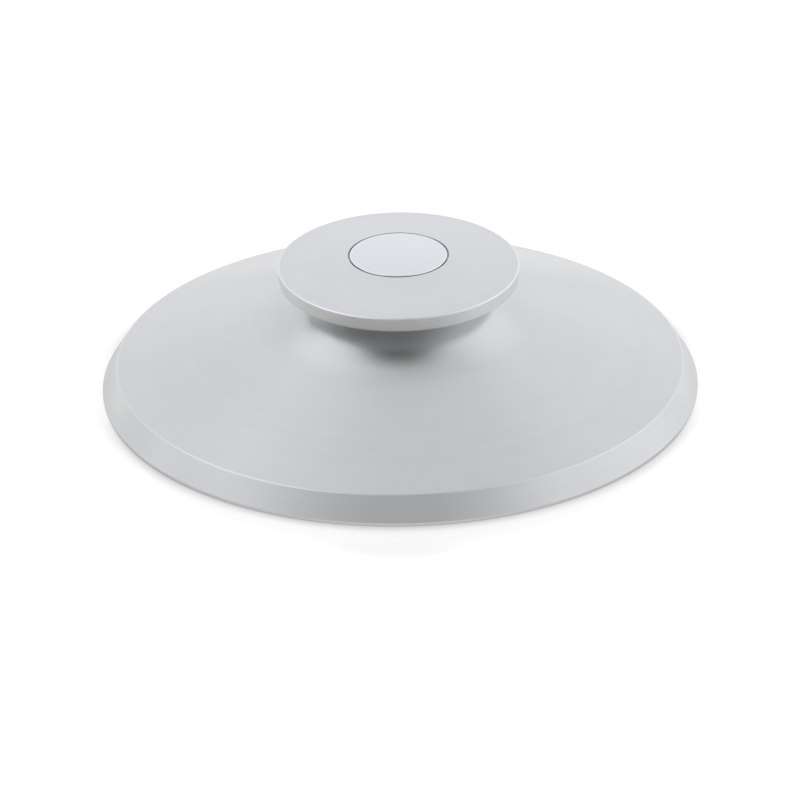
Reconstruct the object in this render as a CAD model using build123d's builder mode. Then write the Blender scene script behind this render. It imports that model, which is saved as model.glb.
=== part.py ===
"""Record weight: a turned aluminium body with a glossy badge set in the top of its knob.

Millimetres, +Z up. The origin is the centre of the foot, on the record's label.
"""
import os
from math import cos, radians, sin, sqrt, tan

from build123d import *

# Base: foot, upright land, bevel and cone
BASE_RADIUS = 50.0
LAND_HEIGHT = 0.6
BEVEL_RADIUS = 47.6
BEVEL_HEIGHT = 4.4
CONE_ANGLE = 20.5

# Finger groove: the cone sweeps up in a hollow flare to the underside of the knob
FLARE_START = 25.2
FLARE_RADIUS = 24.5
GROOVE_FILLET = 0.5

# Knob: rim, crown with an underside that runs parallel to it, and the seat for the badge
KNOB_RADIUS = 20.2
RIM_TAPER = 0.2
RIM_LOW = 19.9
RIM_TOP = 22.3
CROWN_ANGLE = 9.0
SEAT_RADIUS = 8.4
SEAT_DEPTH = 0.8

# Badge
BADGE_RADIUS = 8.15
BADGE_PROUD = 0.05
BADGE_DOME = 0.5

# Underside: resting ring and spindle bore
RELIEF_RADIUS = 42.0
RELIEF_DEPTH = 0.5
BORE_RADIUS = 3.65
BORE_DEPTH = 15.0
MOUTH_WIDTH = 0.6
MOUTH_ANGLE = 90.0
DRILL_POINT_ANGLE = 118.0

# Broken edges
BEVEL_EDGE = 0.25
RIM_EDGE = 0.2
FINE_EDGE = 0.15

rim_low_radius = KNOB_RADIUS - RIM_TAPER
flare_low = BEVEL_HEIGHT + (BEVEL_RADIUS - FLARE_START) * tan(radians(CONE_ANGLE))
flare_centre = FLARE_START + FLARE_RADIUS * sin(radians(CONE_ANGLE))
flare_level = flare_low + FLARE_RADIUS * cos(radians(CONE_ANGLE))
crown_slope = tan(radians(CROWN_ANGLE))
under_level = RIM_LOW + crown_slope * (rim_low_radius - flare_centre) - flare_level
groove_reach = sqrt(FLARE_RADIUS**2 * (1 + crown_slope**2) - under_level**2) - under_level * crown_slope
groove_radius = flare_centre - groove_reach / (1 + crown_slope**2)
groove_height = RIM_LOW + crown_slope * (rim_low_radius - groove_radius)
seat_edge = RIM_TOP + crown_slope * (KNOB_RADIUS - SEAT_RADIUS)
seat_floor = seat_edge - SEAT_DEPTH
badge_edge = seat_edge + BADGE_PROUD
badge_top = badge_edge + BADGE_DOME
dome_radius = (BADGE_RADIUS**2 + BADGE_DOME**2) / (2 * BADGE_DOME)
bore_end = RELIEF_DEPTH + BORE_DEPTH
drill_point = BORE_RADIUS / tan(radians(DRILL_POINT_ANGLE / 2))


def corner(section, radius, height):
    """The corner of a half section that lies at the given place.

    Args:
        section: the sketch that holds the half section
        radius: distance of the corner from the axis
        height: height of the corner above the foot

    Returns:
        the corner's vertex
    """
    return section.vertices().sort_by_distance((radius, height))[0]


with BuildPart() as weight_body:
    with BuildSketch(Plane.XZ) as turned:
        with BuildLine():
            Polyline(
                (0, seat_floor),
                (0, 0),
                (BASE_RADIUS, 0),
                (BASE_RADIUS, LAND_HEIGHT),
                (BEVEL_RADIUS, BEVEL_HEIGHT),
                (FLARE_START, flare_low),
            )
            RadiusArc((FLARE_START, flare_low), (groove_radius, groove_height), FLARE_RADIUS)
            Polyline(
                (groove_radius, groove_height),
                (rim_low_radius, RIM_LOW),
                (KNOB_RADIUS, RIM_TOP),
                (SEAT_RADIUS, seat_edge),
                (SEAT_RADIUS, seat_floor),
                (0, seat_floor),
            )
        make_face()
        chamfer(corner(turned, BASE_RADIUS, 0), FINE_EDGE)
        fillet(corner(turned, BEVEL_RADIUS, BEVEL_HEIGHT), BEVEL_EDGE)
        fillet(corner(turned, groove_radius, groove_height), GROOVE_FILLET)
        chamfer(corner(turned, rim_low_radius, RIM_LOW), FINE_EDGE)
        chamfer(corner(turned, KNOB_RADIUS, RIM_TOP), RIM_EDGE)
    revolve(axis=Axis.Z)

    # The underside is cut back so that only an outer ring rests on the label
    Cylinder(
        RELIEF_RADIUS,
        RELIEF_DEPTH,
        align=(Align.CENTER, Align.CENTER, Align.MIN),
        mode=Mode.SUBTRACT,
    )

    # The spindle's bore is countersunk at its mouth and keeps the drill's point at its end
    with Locations(Plane(origin=(0, 0, RELIEF_DEPTH), z_dir=(0, 0, -1))):
        CounterSinkHole(BORE_RADIUS, BORE_RADIUS + MOUTH_WIDTH, BORE_DEPTH, MOUTH_ANGLE)
    with Locations((0, 0, bore_end)):
        Cone(
            BORE_RADIUS,
            0,
            drill_point,
            align=(Align.CENTER, Align.CENTER, Align.MIN),
            mode=Mode.SUBTRACT,
        )

weight_body.part.label = "weight_body"

with BuildPart() as badge:
    with BuildSketch(Plane.XZ) as disc:
        with BuildLine():
            Polyline((0, badge_top), (0, seat_floor), (BADGE_RADIUS, seat_floor), (BADGE_RADIUS, badge_edge))
            RadiusArc((BADGE_RADIUS, badge_edge), (0, badge_top), -dome_radius)
        make_face()
        chamfer(corner(disc, BADGE_RADIUS, badge_edge), FINE_EDGE)
    revolve(axis=Axis.Z)

badge.part.label = "badge"

os.makedirs("parts", exist_ok=True)
for piece in (weight_body.part, badge.part):
    export_step(piece, f"parts/{piece.label}.step")
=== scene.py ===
"""Record weight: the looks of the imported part, in metres, in the frame of its CAD solids."""
import logging
from collections.abc import Sequence
from dataclasses import dataclass
from enum import Enum
from math import atan2, cos, hypot, pi, radians, sin, sqrt, tan

import bpy
from mathutils import Matrix, Vector


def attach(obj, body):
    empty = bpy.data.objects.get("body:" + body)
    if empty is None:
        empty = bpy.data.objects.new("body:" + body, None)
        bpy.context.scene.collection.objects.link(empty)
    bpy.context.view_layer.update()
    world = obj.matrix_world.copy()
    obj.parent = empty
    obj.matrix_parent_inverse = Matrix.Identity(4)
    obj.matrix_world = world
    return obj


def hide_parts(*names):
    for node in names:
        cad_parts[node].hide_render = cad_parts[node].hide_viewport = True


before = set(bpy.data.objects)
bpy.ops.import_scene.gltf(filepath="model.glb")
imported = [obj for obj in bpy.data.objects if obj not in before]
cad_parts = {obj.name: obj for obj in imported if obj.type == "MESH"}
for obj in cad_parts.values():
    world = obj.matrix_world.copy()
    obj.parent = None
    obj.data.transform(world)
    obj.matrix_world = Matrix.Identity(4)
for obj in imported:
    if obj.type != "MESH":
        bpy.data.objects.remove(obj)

log = logging.getLogger("record_weight")

MM = 0.001

# Share of the height in the run along a section, so that upright faces carry turned marks too
RUN_RISE = 0.8

# The lathe merges points that are closer than this, in metres, and keeps edges sharp above this angle
SEW_DISTANCE = 1e-6
CREASE_ANGLE = radians(40.0)

# Height of the badge's edge above the crown's inner edge, in millimetres
BADGE_PROUD = 0.05

# Keeps a division by the distance from the axis finite on the axis itself, in square metres
AXIS_GUARD = 1e-8

Point = tuple[float, float]
Colour = tuple[float, float, float]


class Slot(Enum):
    """Two material slot names: the aluminium's and the badge's."""

    ALUMINIUM = "satin_aluminium"
    BADGE = "badge_gloss"


class Value:
    """A number on a socket, so that node maths reads as an expression."""

    def __init__(self, bench: "Bench", socket: bpy.types.NodeSocket) -> None:
        """Wraps one output socket of the bench's tree."""
        self.bench = bench
        self.socket = socket

    def __add__(self, other: "Value | float") -> "Value":
        """self + other"""
        return self.bench.maths("ADD", self, other)

    def __radd__(self, other: float) -> "Value":
        """other + self"""
        return self.bench.maths("ADD", other, self)

    def __sub__(self, other: "Value | float") -> "Value":
        """self - other"""
        return self.bench.maths("SUBTRACT", self, other)

    def __rsub__(self, other: float) -> "Value":
        """other - self"""
        return self.bench.maths("SUBTRACT", other, self)

    def __mul__(self, other: "Value | float") -> "Value":
        """self * other"""
        return self.bench.maths("MULTIPLY", self, other)

    def __rmul__(self, other: float) -> "Value":
        """other * self"""
        return self.bench.maths("MULTIPLY", other, self)

    def __truediv__(self, other: "Value | float") -> "Value":
        """self / other"""
        return self.bench.maths("DIVIDE", self, other)

    def __rtruediv__(self, other: float) -> "Value":
        """other / self"""
        return self.bench.maths("DIVIDE", other, self)


class Bench:
    """A node tree under construction."""

    def __init__(self, tree: bpy.types.NodeTree) -> None:
        """Starts from an empty tree."""
        self.tree = tree
        tree.nodes.clear()

    def node(self, kind: str, settings: dict | None = None, inputs: dict | None = None) -> bpy.types.Node:
        """Adds one node.

        Args:
            kind: Blender's name of the node's type
            settings: the node's own properties, which are set first
            inputs: values or links by the socket's name or number

        Returns:
            the new node
        """
        made = self.tree.nodes.new(kind)
        for name, setting in (settings or {}).items():
            setattr(made, name, setting)
        for key, given in (inputs or {}).items():
            source = given.socket if isinstance(given, Value) else given
            if isinstance(source, bpy.types.NodeSocket):
                self.tree.links.new(source, made.inputs[key])
            else:
                made.inputs[key].default_value = source
        return made

    def maths(self, operation: str, *terms: "Value | float") -> Value:
        """Adds a Math node.

        Args:
            operation: Blender's name of the operation
            terms: the numbers or values it works on

        Returns:
            its result
        """
        made = self.node("ShaderNodeMath", {"operation": operation}, dict(enumerate(terms)))
        return Value(self, made.outputs[0])

    def read(
        self, kind: str, output: str | int, settings: dict | None = None, inputs: dict | None = None
    ) -> Value:
        """Adds one node and wraps one of its outputs.

        Args:
            kind: Blender's name of the node's type
            output: the output's name or number
            settings: the node's own properties
            inputs: values or links by the socket's name or number

        Returns:
            that output
        """
        return Value(self, self.node(kind, settings, inputs).outputs[output])

    def ramp(self, source: Value, start: float, end: float, low: float = 0.0, high: float = 1.0) -> Value:
        """A smooth step.

        Args:
            source: the value that is stepped
            start: where the step starts
            end: where it ends
            low: the result before the start
            high: the result after the end

        Returns:
            the stepped value
        """
        return self.read(
            "ShaderNodeMapRange",
            "Result",
            {"interpolation_type": "SMOOTHSTEP"},
            {"Value": source, "From Min": start, "From Max": end, "To Min": low, "To Max": high},
        )

    def step_at(self, source: Value, place: float, blur: Point) -> Value:
        """A smooth step that starts and ends at these two distances from a place."""
        return self.ramp(source, place + blur[0], place + blur[1])

    def blend(self, share: Value, first: "Value | float", second: "Value | float") -> Value:
        """A mix of two numbers, with the share of the second."""
        return self.read("ShaderNodeMix", 0, {"data_type": "FLOAT"}, {0: share, 2: first, 3: second})

    def tint(self, share: Value, first: "Value | Colour", second: "Value | Colour") -> Value:
        """A mix of two colours, with the share of the second."""
        start, end = (given if isinstance(given, Value) else (*given, 1.0) for given in (first, second))
        return self.read("ShaderNodeMix", 2, {"data_type": "RGBA"}, {0: share, 6: start, 7: end})

    def streaks(self, run: Value, detail: float, roughness: float = 0.5) -> Value:
        """Noise along a run.

        Args:
            run: the place on the run, in widths of a streak
            detail: how many finer layers it has
            roughness: strength of the finer layers

        Returns:
            the noise, about 0.5 on average
        """
        inputs = {"W": run, "Scale": 1.0, "Detail": detail, "Roughness": roughness}
        return self.read("ShaderNodeTexNoise", "Fac", {"noise_dimensions": "1D"}, inputs)

    def speckle(self, place: Value, scale: float, detail: float, roughness: float = 0.5) -> Value:
        """Noise in space.

        Args:
            place: the place, in metres
            scale: how many grains there are in a metre
            detail: how many finer layers it has
            roughness: strength of the finer layers

        Returns:
            the noise, about 0.5 on average
        """
        inputs = {"Vector": place, "Scale": scale, "Detail": detail, "Roughness": roughness}
        return self.read("ShaderNodeTexNoise", "Fac", {"noise_dimensions": "3D"}, inputs)

    def bump(self, relief: Value) -> Value:
        """The normal over a relief in millimetres."""
        inputs = {"Height": relief, "Strength": 1.0, "Distance": MM}
        return self.read("ShaderNodeBump", "Normal", inputs=inputs)


@dataclass(frozen=True)
class TurnedPlace:
    """Object coordinates of a turned piece: the place, the radius and a run along its section."""

    place: Value
    radius: Value
    height: Value
    run: Value


def turned_coordinates(bench: Bench) -> TurnedPlace:
    """Reads where a point lies on a turned piece.

    Args:
        bench: the finish's tree

    Returns:
        the place in metres, and the radius, height and run along the section in millimetres
    """
    place = bench.read("ShaderNodeTexCoord", "Object")
    parts = bench.node("ShaderNodeSeparateXYZ", inputs={0: place})
    x, y, z = (Value(bench, parts.outputs[i]) for i in range(3))
    radius = bench.maths("SQRT", x * x + y * y) / MM
    height = z / MM
    return TurnedPlace(place, radius, height, height * RUN_RISE - radius)


@dataclass(frozen=True)
class EdgeHighlight:
    """A painted highlight on an edge flat, which brightens the metal outside this radius and above this
    height, in millimetres.
    """

    radius: float
    height: float
    colour: Colour


@dataclass(frozen=True)
class SatinAluminium:
    """Fine turned and satin anodised aluminium.

    Lengths are in millimetres, and a noise's scale counts its grains in a metre.
    """

    colour: Colour = (0.796, 0.798, 0.800)
    dull_colour: Colour = (0.772, 0.774, 0.776)
    # Painted shade: the narrow gap round the badge is coloured darker
    gap_shade_colour: Colour = (0.55, 0.55, 0.56)
    roughness: float = 0.24
    roughness_spread: float = 0.03
    feed: float = 0.16
    feed_depth: float = 0.0006
    band: float = 3.1
    grain: float = 0.42
    grain_depth: float = 0.0045
    cloud_scale: float = 90.0

    # Shares of the noises in the tone and in the roughness
    grain_tone: float = 0.2
    cloud_tone: float = 0.5
    band_tone: float = 0.3
    tone_range: Point = (0.36, 0.64)
    mark_matt: float = 0.4
    band_matt: float = 0.35
    cloud_matt: float = 0.25

    # Where the gap round the badge gets its painted shade, and where the edge flats get painted highlights
    seat_radius: float = 8.4
    seat_edge: float = 24.169
    gap_wall: Point = (0.03, -0.01)
    gap_top: Point = (-0.02, -0.12)
    gap_from: Point = (20.0, 21.0)
    painted_edge_highlights: tuple[EdgeHighlight, ...] = (
        EdgeHighlight(19.88, 22.19, (0.955, 0.957, 0.960)),
        EdgeHighlight(47.36, 4.335, (0.870, 0.872, 0.875)),
    )
    highlight_blur: Point = (-0.03, 0.02)

    def material(self) -> bpy.types.Material:
        """Builds the finish.

        Returns:
            the material, with turned marks along the section and a fine blasted grain
        """
        made = bpy.data.materials.new("satin_turned_aluminium")
        made.use_nodes = True
        bench = Bench(made.node_tree)
        at = turned_coordinates(bench)
        marks = bench.streaks(at.run / self.feed, detail=2.0, roughness=0.6)
        bands = bench.streaks(at.run / self.band, detail=1.0)
        grain = bench.speckle(at.place, 1.0 / (self.grain * MM), detail=2.0, roughness=0.55)
        cloud = bench.speckle(at.place, self.cloud_scale, detail=3.0)
        mottle = grain * self.grain_tone + cloud * self.cloud_tone + bands * self.band_tone
        in_gap = bench.step_at(at.radius, self.seat_radius, self.gap_wall)
        below_edge = bench.step_at(at.height, self.seat_edge, self.gap_top)
        above_bore = bench.ramp(at.height, *self.gap_from)
        skin = self._skin(bench, at, bench.ramp(mottle, *self.tone_range))
        relief = marks * self.feed_depth + grain * self.grain_depth
        matt = marks * self.mark_matt + bands * self.band_matt + cloud * self.cloud_matt
        spread = (matt - 0.5) * (2.0 * self.roughness_spread)
        shader = bench.node(
            "ShaderNodeBsdfPrincipled",
            inputs={
                # Painted shade: the gap round the badge, above the bore, is coloured darker
                "Base Color": bench.tint(in_gap * below_edge * above_bore, skin, self.gap_shade_colour),
                "Metallic": 1.0,
                "Roughness": spread + self.roughness,
                "Normal": bench.bump(relief),
            },
        )
        bench.node("ShaderNodeOutputMaterial", inputs={"Surface": shader.outputs[0]})
        return made

    def _skin(self, bench: Bench, at: TurnedPlace, tone: Value) -> Value:
        """Colours the metal, with painted highlights on the edge flats.

        Args:
            bench: the finish's tree
            at: where a point lies
            tone: share of the clearer colour

        Returns:
            the skin's colour
        """
        colour = bench.tint(tone, self.dull_colour, self.colour)
        # Painted highlights: the flats at the rim's top and the bevel's top get a brighter colour
        for edge in self.painted_edge_highlights:
            outside = bench.step_at(at.radius, edge.radius, self.highlight_blur)
            above = bench.step_at(at.height, edge.height, self.highlight_blur)
            colour = bench.tint(outside * above, colour, edge.colour)
        return colour


@dataclass(frozen=True)
class BadgeGloss:
    """Silver foil under a clear glossy dome, with nothing printed on it.

    Lengths are in millimetres, and a noise's scale counts its grains in a metre.
    """

    colour: Colour = (0.955, 0.972, 0.985)
    dull_colour: Colour = (0.925, 0.943, 0.957)
    # Painted highlight along the badge's edge, where the band is also more metallic and glossier
    edge_highlight_colour: Colour = (0.98, 0.985, 0.99)
    radius: float = 8.15
    roughness: float = 0.30
    edge_roughness: float = 0.12
    coat_roughness: float = 0.03
    metallic: float = 0.60
    speck_scale: float = 9000.0
    speck_range: Point = (0.35, 0.65)
    speck_spread: float = 0.04
    sway_scale: float = 260.0
    sway_depth: float = 0.004
    edge_band: Point = (-0.26, -0.18)

    def material(self) -> bpy.types.Material:
        """Builds the finish.

        Returns:
            the material: a finely speckled silver ground and a clear coat with a faint waviness
        """
        made = bpy.data.materials.new("clear_domed_silver")
        made.use_nodes = True
        bench = Bench(made.node_tree)
        at = turned_coordinates(bench)
        speck = bench.speckle(at.place, self.speck_scale, detail=2.0)
        sway = bench.speckle(at.place, self.sway_scale, detail=1.0)
        ground = bench.tint(bench.ramp(speck, *self.speck_range), self.dull_colour, self.colour)
        edge = bench.step_at(at.radius, self.radius, self.edge_band)
        matt = speck * (2.0 * self.speck_spread) + (self.roughness - self.speck_spread)
        shader = bench.node(
            "ShaderNodeBsdfPrincipled",
            inputs={
                # Painted highlight: the band along the edge is brighter, besides being more metallic and
                # glossier
                "Base Color": bench.tint(edge, ground, self.edge_highlight_colour),
                "Metallic": bench.blend(edge, self.metallic, 1.0),
                "Roughness": bench.blend(edge, matt, self.edge_roughness),
                "Coat Weight": 1.0,
                "Coat Roughness": self.coat_roughness,
                "Normal": bench.bump(sway * self.sway_depth),
            },
        )
        bench.node("ShaderNodeOutputMaterial", inputs={"Surface": shader.outputs[0]})
        return made


class Outline:
    """Half section of a turned piece, drawn from the axis round to the axis again, in millimetres."""

    def __init__(self, start: Point) -> None:
        """Starts at a place given as radius and height."""
        self.points: list[Point] = [start]

    def line(self, end: Point, parts: int = 1, guard: float = 0.04) -> None:
        """Draws a straight run.

        Args:
            end: radius and height where it ends
            parts: how many lengths it is divided into
            guard: distance of the extra points that keep the run flat up to its ends
        """
        start = self.points[-1]
        length = hypot(end[0] - start[0], end[1] - start[1])
        inner = [guard / length] if length > 3 * guard else []
        shares = inner + [i / parts for i in range(1, parts)] + [1 - s for s in inner] + [1.0]
        for share in shares:
            self.points.append(tuple(a + (b - a) * share for a, b in zip(start, end)))

    def arc(self, centre: Point, radius: float, start: float, end: float, parts: int) -> None:
        """Draws an arc from where the outline stands.

        Args:
            centre: radius and height of its middle
            radius: its own radius
            start: angle of its first point, in radians
            end: angle of its last point, in radians
            parts: how many chords it has
        """
        for i in range(1, parts + 1):
            angle = start + (end - start) * i / parts
            self.points.append((centre[0] + radius * cos(angle), centre[1] + radius * sin(angle)))

    def corner(self, tip: Point, ahead: Point, radius: float, chords: int = 8, parts: int = 1) -> None:
        """Draws a straight run towards a corner and rounds it.

        Args:
            tip: the corner, as radius and height
            ahead: the place the outline heads for after it
            radius: the rounding's radius
            chords: how many chords the rounding has
            parts: how many lengths the straight run is divided into
        """
        start = self.points[-1]
        inward = Vector((tip[0] - start[0], tip[1] - start[1])).normalized()
        onward = Vector((ahead[0] - tip[0], ahead[1] - tip[1])).normalized()
        turn = atan2(inward.x * onward.y - inward.y * onward.x, inward.dot(onward))
        setback = radius * tan(abs(turn) / 2)
        begin = Vector(tip) - inward * setback
        self.line((begin.x, begin.y), parts=parts)
        side = 1.0 if turn > 0 else -1.0
        centre = begin + Vector((-inward.y, inward.x)) * (radius * side)
        first = atan2(begin.y - centre.y, begin.x - centre.x)
        self.arc((centre.x, centre.y), radius, first, first + turn, chords)

    def cut_corner(
        self, tip: Point, ahead: Point, lean: float, width: float, parts: int = 1, soft: float = 0.04
    ) -> None:
        """Draws a straight run towards a corner and takes the corner off with a narrow flat.

        Args:
            tip: the corner, as radius and height
            ahead: the place the outline heads for after it
            lean: the flat's rise towards the axis, in degrees
            width: the flat's width
            parts: how many lengths the straight run is divided into
            soft: radius of the roundings at the flat's two edges
        """
        start = self.points[-1]
        before = atan2(tip[1] - start[1], tip[0] - start[0])
        after = atan2(ahead[1] - tip[1], ahead[0] - tip[0])
        flat = pi - radians(lean)
        unit = width / sin(after - before)
        near, far = unit * sin(after - flat), unit * sin(flat - before)
        begin = (tip[0] - near * cos(before), tip[1] - near * sin(before))
        end = (tip[0] + far * cos(after), tip[1] + far * sin(after))
        self.corner(begin, end, soft, chords=4, parts=parts)
        self.corner(end, ahead, soft, chords=3)

    def metres(self) -> list[tuple[float, float, float]]:
        """The outline's points in metres, in the XZ plane."""
        return [(max(r, 0.0) * MM, 0.0, z * MM) for r, z in self.points]


class Lathe:
    """Geometry nodes that turn a half section about the Z axis into one closed skin."""

    def __init__(self, segments: int = 288) -> None:
        """Builds the tree once, for every turned piece.

        Args:
            segments: how many steps a full turn has
        """
        self.segments = segments
        self.tree = bpy.data.node_groups.new("lathe", "GeometryNodeTree")
        face = self.tree.interface
        face.new_socket("Half Section", in_out="INPUT", socket_type="NodeSocketGeometry")
        steps = face.new_socket("Segments", in_out="INPUT", socket_type="NodeSocketInt")
        finish = face.new_socket("Finish", in_out="INPUT", socket_type="NodeSocketMaterial")
        face.new_socket("Turned Piece", in_out="OUTPUT", socket_type="NodeSocketGeometry")
        self.segments_key, self.finish_key = steps.identifier, finish.identifier
        self._draw()

    def _draw(self) -> None:
        """Adds the nodes: a grid of section points by turn steps, bent round the axis and sewn up."""
        bench = Bench(self.tree)
        given = bench.node("NodeGroupInput")
        section, segments, finish = (given.outputs[i] for i in range(3))
        size = bench.node("GeometryNodeAttributeDomainSize", {"component": "MESH"}, {0: section})
        rows = Value(bench, segments) + 1.0
        grid = bench.node(
            "GeometryNodeMeshGrid", inputs={"Vertices X": size.outputs["Point Count"], "Vertices Y": rows}
        )
        index = bench.read("GeometryNodeInputIndex", 0)
        along = bench.maths("FLOOR", (index + 0.5) / rows)
        step = index - along * rows
        drawn = bench.read(
            "GeometryNodeSampleIndex",
            0,
            {"data_type": "FLOAT_VECTOR", "domain": "POINT"},
            {0: section, 1: bench.read("GeometryNodeInputPosition", 0), 2: along},
        )
        turned = bench.read(
            "ShaderNodeVectorRotate",
            0,
            {"rotation_type": "Z_AXIS"},
            {"Vector": drawn, "Angle": step * (-2.0 * pi) / Value(bench, segments)},
        )
        bent = bench.node("GeometryNodeSetPosition", inputs={0: grid.outputs["Mesh"], "Position": turned})
        seam = {0: bent.outputs[0], "Distance": SEW_DISTANCE}
        sewn = bench.node("GeometryNodeMergeByDistance", inputs=seam)
        smooth = bench.node("GeometryNodeSetShadeSmooth", {"domain": "FACE"}, {0: sewn.outputs[0], 2: True})
        steep = bench.maths("GREATER_THAN", bench.read("GeometryNodeInputMeshEdgeAngle", 0), CREASE_ANGLE)
        creased = bench.node(
            "GeometryNodeSetShadeSmooth", {"domain": "EDGE"}, {0: smooth.outputs[0], 1: steep, 2: False}
        )
        real = bench.node("GeometryNodeRealizeInstances", inputs={0: creased.outputs[0]})
        dressed = bench.node("GeometryNodeSetMaterial", inputs={0: real.outputs[0], "Material": finish})
        bench.node("NodeGroupOutput", inputs={0: dressed.outputs[0]})

    def turn(self, name: str, outline: Outline, finish: bpy.types.Material) -> bpy.types.Object:
        """Turns one piece.

        Args:
            name: the piece's name
            outline: its half section
            finish: its material

        Returns:
            the piece, as a plain mesh at the origin
        """
        points = outline.metres()
        section = bpy.data.meshes.new(f"{name}_section")
        section.from_pydata(points, [(i, i + 1) for i in range(len(points) - 1)], [])
        piece = bpy.data.objects.new(name, section)
        bpy.context.scene.collection.objects.link(piece)
        lathe = piece.modifiers.new("lathe", "NODES")
        lathe.node_group = self.tree
        lathe[self.segments_key] = self.segments
        lathe[self.finish_key] = finish
        ready = piece.evaluated_get(bpy.context.evaluated_depsgraph_get())
        piece.data = bpy.data.meshes.new_from_object(ready)
        piece.data.name = name
        piece.modifiers.clear()
        bpy.data.meshes.remove(section)
        log.info("%s: %d faces", name, len(piece.data.polygons))
        return piece


@dataclass
class WeightBody:
    """The turned body: foot, bevel, cone, hollow flare, knob, badge seat, relief and spindle bore.

    Sizes are in millimetres and angles in degrees.
    """

    base_radius: float = 50.0
    land_height: float = 0.6
    bevel_radius: float = 47.6
    bevel_height: float = 4.4
    cone_angle: float = 20.5
    flare_start: float = 25.2
    flare_radius: float = 24.5
    groove_fillet: float = 0.5
    knob_radius: float = 20.2
    rim_taper: float = 0.2
    rim_low: float = 19.9
    rim_top: float = 22.3
    crown_angle: float = 9.0
    seat_radius: float = 8.4
    seat_depth: float = 0.8
    relief_radius: float = 42.0
    relief_depth: float = 0.5
    bore_radius: float = 3.65
    bore_depth: float = 15.0
    mouth_width: float = 0.6
    drill_point_angle: float = 118.0
    flat_width: float = 0.32
    flat_lean: float = 29.0
    foot_edge: float = 0.12
    rim_low_edge: float = 0.18
    small_edge: float = 0.06
    tiny_edge: float = 0.05

    @property
    def seat_edge(self) -> float:
        """Height of the crown's inner edge."""
        return self.rim_top + (self.knob_radius - self.seat_radius) * tan(radians(self.crown_angle))

    @property
    def seat_floor(self) -> float:
        """Height of the floor that the badge lies on."""
        return self.seat_edge - self.seat_depth

    def outline(self) -> Outline:
        """Draws the half section.

        Returns:
            the outline, from the bore's end round to the badge's seat
        """
        drawn = self._underside()
        self._base(drawn)
        self._flare(drawn)
        self._knob(drawn)
        return drawn

    def _underside(self) -> Outline:
        """Draws the bore, its mouth and the relief.

        Returns:
            the outline as far as the resting ring's inner edge
        """
        bore_end = self.relief_depth + self.bore_depth
        point = self.bore_radius / tan(radians(self.drill_point_angle / 2))
        drawn = Outline((0.0, bore_end + point))
        drawn.line((self.bore_radius, bore_end), parts=2)
        mouth = (self.bore_radius + self.mouth_width, self.relief_depth)
        throat = (self.bore_radius, self.relief_depth + self.mouth_width)
        ring_top = (self.relief_radius, self.relief_depth)
        drawn.corner(throat, mouth, self.tiny_edge, chords=3, parts=3)
        drawn.corner(mouth, ring_top, self.tiny_edge, chords=3)
        drawn.line(ring_top, parts=6)
        return drawn

    def _base(self, drawn: Outline) -> None:
        """Draws the resting ring, the land, the bevel and its edge to the cone.

        Args:
            drawn: the outline so far
        """
        land_top = (self.base_radius, self.land_height)
        bevel_top = (self.bevel_radius, self.bevel_height)
        drawn.corner((self.relief_radius, 0.0), (self.base_radius, 0.0), self.tiny_edge, chords=3)
        drawn.corner((self.base_radius, 0.0), land_top, self.foot_edge, chords=6, parts=3)
        drawn.corner(land_top, bevel_top, self.small_edge, chords=4)
        drawn.cut_corner(bevel_top, self._flare_foot(), self.flat_lean, self.flat_width, parts=3)

    def _flare_foot(self) -> Point:
        """Where the cone runs into the flare."""
        rise = (self.bevel_radius - self.flare_start) * tan(radians(self.cone_angle))
        return (self.flare_start, self.bevel_height + rise)

    def _flare(self, drawn: Outline) -> None:
        """Draws the cone, the hollow flare and the groove's fillet, up to the knob's underside.

        Args:
            drawn: the outline so far
        """
        foot = self._flare_foot()
        slope, tilt = radians(self.cone_angle), radians(self.crown_angle)
        centre = (foot[0] + self.flare_radius * sin(slope), foot[1] + self.flare_radius * cos(slope))
        fillet = self._fillet_centre(centre)
        meeting = pi + atan2(centre[1] - fillet[1], centre[0] - fillet[0])
        drawn.line(foot, parts=12)
        drawn.arc(centre, self.flare_radius, 1.5 * pi - slope, meeting, parts=28)
        drawn.arc(fillet, self.groove_fillet, meeting, 0.5 * pi - tilt, parts=12)

    def _fillet_centre(self, centre: Point) -> Point:
        """Finds the circle that touches the flare and the knob's sloping underside.

        Args:
            centre: radius and height of the flare's middle

        Returns:
            radius and height of the circle's middle
        """
        tilt = tan(radians(self.crown_angle))
        spread = 1 + tilt**2
        low_edge = self.knob_radius - self.rim_taper
        line = self.rim_low - self.groove_fillet * sqrt(spread)
        level = line + tilt * (low_edge - centre[0]) - centre[1]
        reach = self.flare_radius - self.groove_fillet
        radius = centre[0] - (sqrt(reach**2 * spread - level**2) - level * tilt) / spread
        return (radius, line + tilt * (low_edge - radius))

    def _knob(self, drawn: Outline) -> None:
        """Draws the knob's underside, its rim, the crown and the badge's seat.

        Args:
            drawn: the outline so far
        """
        low = (self.knob_radius - self.rim_taper, self.rim_low)
        top = (self.knob_radius, self.rim_top)
        edge = (self.seat_radius, self.seat_edge)
        floor = (self.seat_radius, self.seat_floor)
        drawn.corner(low, top, self.rim_low_edge, chords=8, parts=3)
        drawn.cut_corner(top, edge, self.flat_lean, self.flat_width, parts=3)
        drawn.corner(edge, floor, self.small_edge, chords=5, parts=6)
        drawn.line(floor, parts=2)
        drawn.line((0.0, self.seat_floor), parts=2)

    def build(self, lathe: Lathe) -> bpy.types.Object:
        """Turns and dresses the body.

        Args:
            lathe: the tree that turns it

        Returns:
            the finished piece, in place of its solid
        """
        finish = SatinAluminium(seat_radius=self.seat_radius, seat_edge=self.seat_edge)
        piece = lathe.turn("turned_body", self.outline(), finish.material())
        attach(piece, "root")
        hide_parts("weight_body")
        return piece


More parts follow.
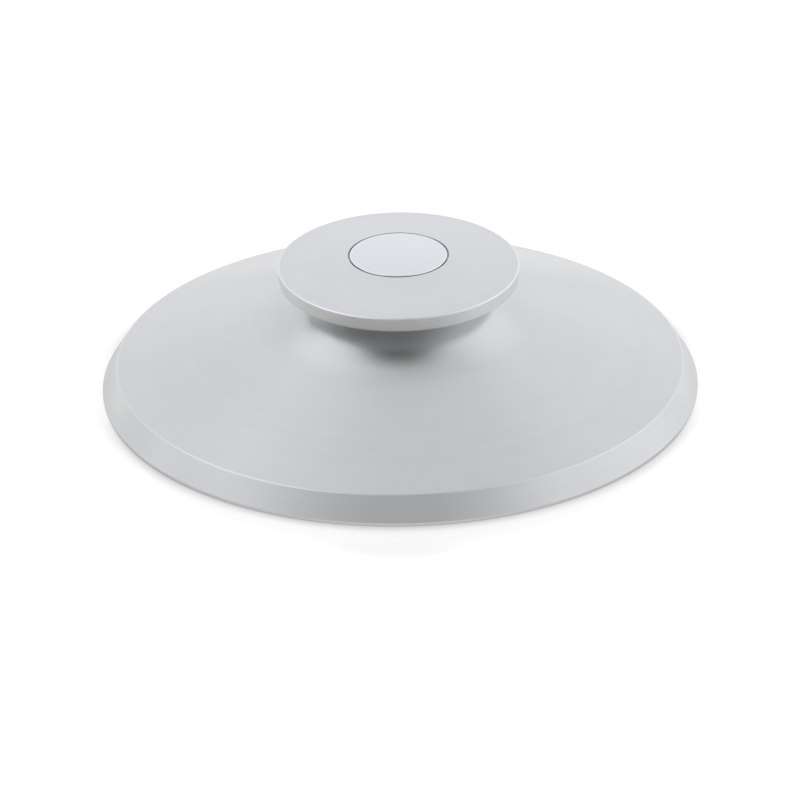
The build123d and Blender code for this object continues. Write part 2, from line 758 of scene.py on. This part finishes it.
@dataclass
class Badge:
    """The glossy disc in the knob's seat, in millimetres."""

    floor: float
    edge: float
    radius: float = 8.15
    dome: float = 0.5
    back_edge: float = 0.05
    fine_edge: float = 0.15

    def outline(self) -> Outline:
        """Draws the half section.

        Returns:
            the outline, from the middle of the disc's back to the middle of its dome
        """
        dome_radius = (self.radius**2 + self.dome**2) / (2 * self.dome)
        centre = self.edge + self.dome - dome_radius
        drawn = Outline((0.0, self.floor))
        brim = (self.radius, self.edge)
        drawn.corner((self.radius, self.floor), brim, self.back_edge, chords=3, parts=2)
        drawn.corner(brim, (0.0, self.edge + self.dome), self.fine_edge, chords=8)
        start = atan2(drawn.points[-1][1] - centre, drawn.points[-1][0])
        drawn.arc((0.0, centre), dome_radius, start, 0.5 * pi, parts=24)
        return drawn

    def build(self, lathe: Lathe) -> bpy.types.Object:
        """Turns and dresses the badge.

        Args:
            lathe: the tree that turns it

        Returns:
            the finished piece, in place of its solid
        """
        piece = lathe.turn("domed_badge", self.outline(), BadgeGloss(radius=self.radius).material())
        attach(piece, "root")
        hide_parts("badge")
        return piece


@dataclass(frozen=True)
class LightPatch:
    """A round part of the surround that is darker or brighter than the rest.

    Angles are in degrees. Azimuth 0 is the camera's side and 90 the right.
    The change is full inside the inner reach, measured from the patch's middle, and ends at the outer reach.
    """

    azimuth: float
    elevation: float
    inner_reach: float
    outer_reach: float
    change: float

    def direction(self) -> tuple[float, float, float]:
        """Unit vector towards the patch."""
        turn, rise = radians(self.azimuth), radians(self.elevation)
        return (sin(turn) * cos(rise), -cos(turn) * cos(rise), sin(rise))


@dataclass
class Studio:
    """White floor, soft pale surround with its darker parts, and the camera, in metres."""

    # Surround: level, its lean to the right, back and top, and the darker roof above the two rises
    wall: float = 0.796
    wall_right: float = -0.105
    wall_back: float = 0.125
    wall_lift: float = -0.063
    roof: float = 0.64
    roof_rise: Point = (0.747, 1.044)
    dim_hue: Colour = (1.0, 1.01, 0.99)
    bright_hue: Colour = (0.978, 0.998, 1.045)

    # Floor as the metal sees it: level, its lean, and where it falls off to the front and to the back
    floor_level: float = 0.903
    floor_right: float = 0.042
    floor_back: float = 0.007
    front_drop: float = 0.603
    front_range: Point = (-0.044, -0.194)
    back_drop: float = 0.2
    back_range: Point = (0.08, 0.4)

    # Painted shade round the foot, on top of the real shadow: its depth, where it runs out, and which sides
    # have it
    contact_shade: float = 0.42
    contact_range: Point = (0.0524, 0.0498)
    contact_sides: Point = (0.1, 0.45)
    side_shade: float = 0.15
    side_range: Point = (0.078, 0.056)
    side_from: Point = (-0.025, 0.0)

    # Floor as the camera sees it
    floor_half: float = 3.0
    floor_sink: float = 0.00002
    floor_colour: Colour = (0.73, 0.72, 0.70)
    floor_fill: float = 0.52
    floor_roughness: float = 0.06
    floor_gloss: float = 0.9

    # Camera, and the patches of the surround that the metal mirrors
    camera_from: tuple[float, float, float] = (0.0, -0.8998, 0.4676)
    camera_to: tuple[float, float, float] = (-0.00008, 0.0, -0.00312)
    camera_roll: float = 0.81
    lens: float = 271.2
    sensor: float = 36.0
    clip: Point = (0.01, 20.0)
    patches: tuple[LightPatch, ...] = (
        LightPatch(-4.4, 67.9, 0.5, 31.9, -0.945),
        LightPatch(-13.8, -30.0, 39.4, 85.4, -0.75),
        LightPatch(-64.6, -30.0, 43.6, 55.6, -0.591),
        LightPatch(-60.3, 41.2, 45.0, 57.0, 0.199),
        LightPatch(91.2, 28.0, 15.5, 49.9, 0.286),
        LightPatch(-120.9, 9.1, 0.5, 59.9, -0.198),
        LightPatch(180.0, -25.0, 15.0, 45.0, -0.08),
        LightPatch(-108.0, 32.2, 2.5, 14.0, -0.75),
    )

    def build(self) -> None:
        """Sets the floor, the surround, the camera and the view."""
        self._floor()
        self._surround()
        self._camera()
        bpy.context.scene.view_settings.view_transform = "Standard"

    def _floor(self) -> None:
        """Lays a white floor that shows its shadow and a painted shade round the foot to the camera, and
        glows softly in the metal.
        """
        half = self.floor_half
        mesh = bpy.data.meshes.new("floor")
        corners = [(-half, -half), (half, -half), (half, half), (-half, half)]
        mesh.from_pydata([(x, y, -self.floor_sink) for x, y in corners], [], [(0, 1, 2, 3)])
        floor = bpy.data.objects.new("floor", mesh)
        bpy.context.scene.collection.objects.link(floor)
        made = bpy.data.materials.new("white_floor")
        made.use_nodes = True
        bench = Bench(made.node_tree)
        parts = bench.node("ShaderNodeSeparateXYZ", inputs={0: bench.read("ShaderNodeTexCoord", "Object")})
        x, y = (Value(bench, parts.outputs[i]) for i in range(2))
        reach = bench.maths("SQRT", x * x + y * y + AXIS_GUARD)
        front = bench.ramp(y, *self.front_range, 0.0, self.front_drop)
        back = bench.ramp(y, *self.back_range, 0.0, self.back_drop)
        level = self.floor_level + (x * self.floor_right + y * self.floor_back) / reach - front - back
        # Painted shade round the foot, by the distance from the axis, in what the camera sees and in what
        # the metal mirrors
        near_foot = bench.ramp(reach, *self.contact_range, 0.0, self.contact_shade)
        open_sky = 1.0 - near_foot * bench.ramp(bench.maths("ABSOLUTE", y) / reach, *self.contact_sides)
        beside = bench.ramp(reach, *self.side_range, 0.0, self.side_shade) * bench.ramp(y, *self.side_from)
        glow_level = bench.maths("MAXIMUM", level, 0.0) * open_sky * (1.0 - beside)
        glow = bench.node("ShaderNodeEmission", inputs={"Strength": glow_level})
        seen = bench.node(
            "ShaderNodeBsdfPrincipled",
            inputs={
                "Base Color": (*self.floor_colour, 1.0),
                "Roughness": self.floor_roughness,
                "Specular IOR Level": self.floor_gloss,
                "Emission Color": (1.0, 1.0, 1.0, 1.0),
                "Emission Strength": open_sky * self.floor_fill,
            },
        )
        rays = bench.node("ShaderNodeLightPath")
        mixed = bench.node(
            "ShaderNodeMixShader",
            inputs={0: rays.outputs["Is Camera Ray"], 1: glow.outputs[0], 2: seen.outputs[0]},
        )
        bench.node("ShaderNodeOutputMaterial", inputs={"Surface": mixed.outputs[0]})
        mesh.materials.append(made)

    def _surround(self) -> None:
        """Lights the object from all round, less from the roof and from the camera's side."""
        world = bpy.data.worlds.new("soft_surround")
        world.use_nodes = True
        bpy.context.scene.world = world
        bench = Bench(world.node_tree)
        towards = bench.read("ShaderNodeTexCoord", "Generated")
        parts = bench.node("ShaderNodeSeparateXYZ", inputs={0: towards})
        x, y, z = (Value(bench, parts.outputs[i]) for i in range(3))
        level = bench.ramp(z, *self.roof_rise, self.wall, self.roof)
        level = level + x * self.wall_right + y * self.wall_back + z * self.wall_lift
        for patch in self.patches:
            facing = bench.read(
                "ShaderNodeVectorMath",
                "Value",
                {"operation": "DOT_PRODUCT"},
                {0: towards, 1: patch.direction()},
            )
            outer, inner = cos(radians(patch.outer_reach)), cos(radians(patch.inner_reach))
            level = level * (1.0 + bench.ramp(facing, outer, inner, 0.0, patch.change))
        hue = bench.tint(level, self.dim_hue, self.bright_hue)
        light = bench.node("ShaderNodeBackground", inputs={"Color": hue, "Strength": level})
        backdrop = bench.node("ShaderNodeBackground", inputs={"Color": (1.0, 1.0, 1.0, 1.0)})
        rays = bench.node("ShaderNodeLightPath")
        mixed = bench.node(
            "ShaderNodeMixShader",
            inputs={0: rays.outputs["Is Camera Ray"], 1: light.outputs[0], 2: backdrop.outputs[0]},
        )
        bench.node("ShaderNodeOutputWorld", inputs={"Surface": mixed.outputs[0]})

    def _camera(self) -> None:
        """Sets the camera at the photograph's distance, height, roll and lens."""
        data = bpy.data.cameras.new("camera")
        data.lens = self.lens
        data.sensor_width = self.sensor
        data.clip_start, data.clip_end = self.clip
        camera = bpy.data.objects.new("camera", data)
        eye = Vector(self.camera_from)
        back = (eye - Vector(self.camera_to)).normalized()
        right = Vector((0.0, 0.0, 1.0)).cross(back).normalized()
        turn = Matrix((right, back.cross(right), back)).transposed().to_4x4()
        roll = Matrix.Rotation(radians(-self.camera_roll), 4, "Z")
        camera.matrix_world = Matrix.Translation(eye) @ turn @ roll
        bpy.context.scene.collection.objects.link(camera)
        bpy.context.scene.camera = camera


def corners(box: Sequence[Vector]) -> list[list[float]]:
    """A box as plain lists of numbers."""
    return [list(corner) for corner in box]


def main() -> None:
    """Builds the pieces and the studio."""
    logging.basicConfig(level=logging.INFO, format="%(name)s: %(message)s")
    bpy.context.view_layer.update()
    lathe = Lathe()
    body = WeightBody()
    badge = Badge(floor=body.seat_floor, edge=body.seat_edge + BADGE_PROUD)
    for piece in (body.build(lathe), badge.build(lathe)):
        log.info("made %s", piece.name)
    Studio().build()


if __name__ == "__main__":
    main()
